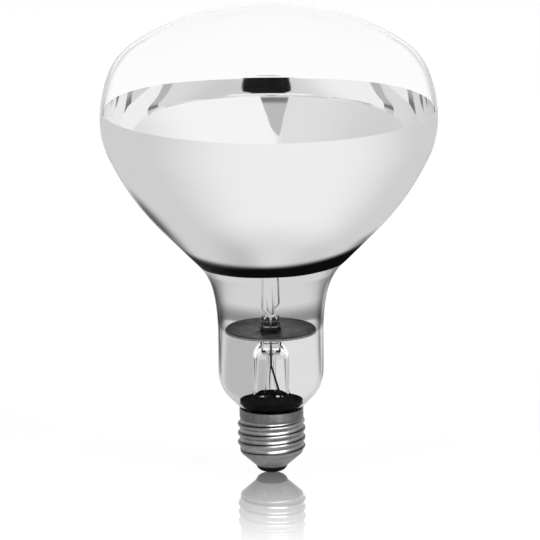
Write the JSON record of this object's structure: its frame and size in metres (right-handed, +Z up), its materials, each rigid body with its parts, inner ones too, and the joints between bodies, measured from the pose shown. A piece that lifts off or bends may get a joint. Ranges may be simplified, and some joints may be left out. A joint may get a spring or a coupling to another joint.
{
  "type": "infrared heat lamp bulb",
  "caption": "Reflector heat lamp with a clear domed crown, a mirrored back, a narrow neck with its stem and heat shield, and a threaded screw cap.",
  "frame": {"origin": "middle of the bottom contact's flat face, where the lampholder's contact presses", "axes": "+Z up the lamp's axis from the cap to the crown, -Y towards the front of the lamp"},
  "size_m": [0.129, 0.129, 0.1828],
  "materials": {
    "clear_glass": "clear polished",
    "mirror_film": "bright evaporated film",
    "seal_wire": "copper clad",
    "lead_wire": "drawn nickel",
    "outer_wire": "dark oxidised",
    "shield_metal": "rolled sheet",
    "tungsten": "drawn wire",
    "cap_metal": "nickel plated, satin",
    "cement": "baked, rough",
    "black_glass": "opaque black glass",
    "contact_metal": "pressed sheet",
    "solder": "set from melt"
  },
  "bodies": {
    "root": {"glass_bulb": "clear_glass", "mirror_coating": "mirror_film", "stem_flare": "clear_glass", "exhaust_tube": "clear_glass", "lead_seal_front": "seal_wire", "lead_seal_back": "seal_wire", "inner_lead_front": "lead_wire", "inner_lead_back": "lead_wire", "side_lead": "outer_wire", "center_lead": "outer_wire", "heat_shield": "shield_metal", "arbor_rod": "clear_glass", "filament": "tungsten", "support_wire_1": "tungsten", "support_wire_2": "tungsten", "support_wire_3": "tungsten", "support_wire_4": "tungsten", "support_wire_5": "tungsten", "cap_shell": "cap_metal", "capping_cement": "cement", "cap_insulator": "black_glass", "center_contact": "contact_metal", "contact_solder": "solder", "side_solder": "solder"}
  },
  "joints": []
}
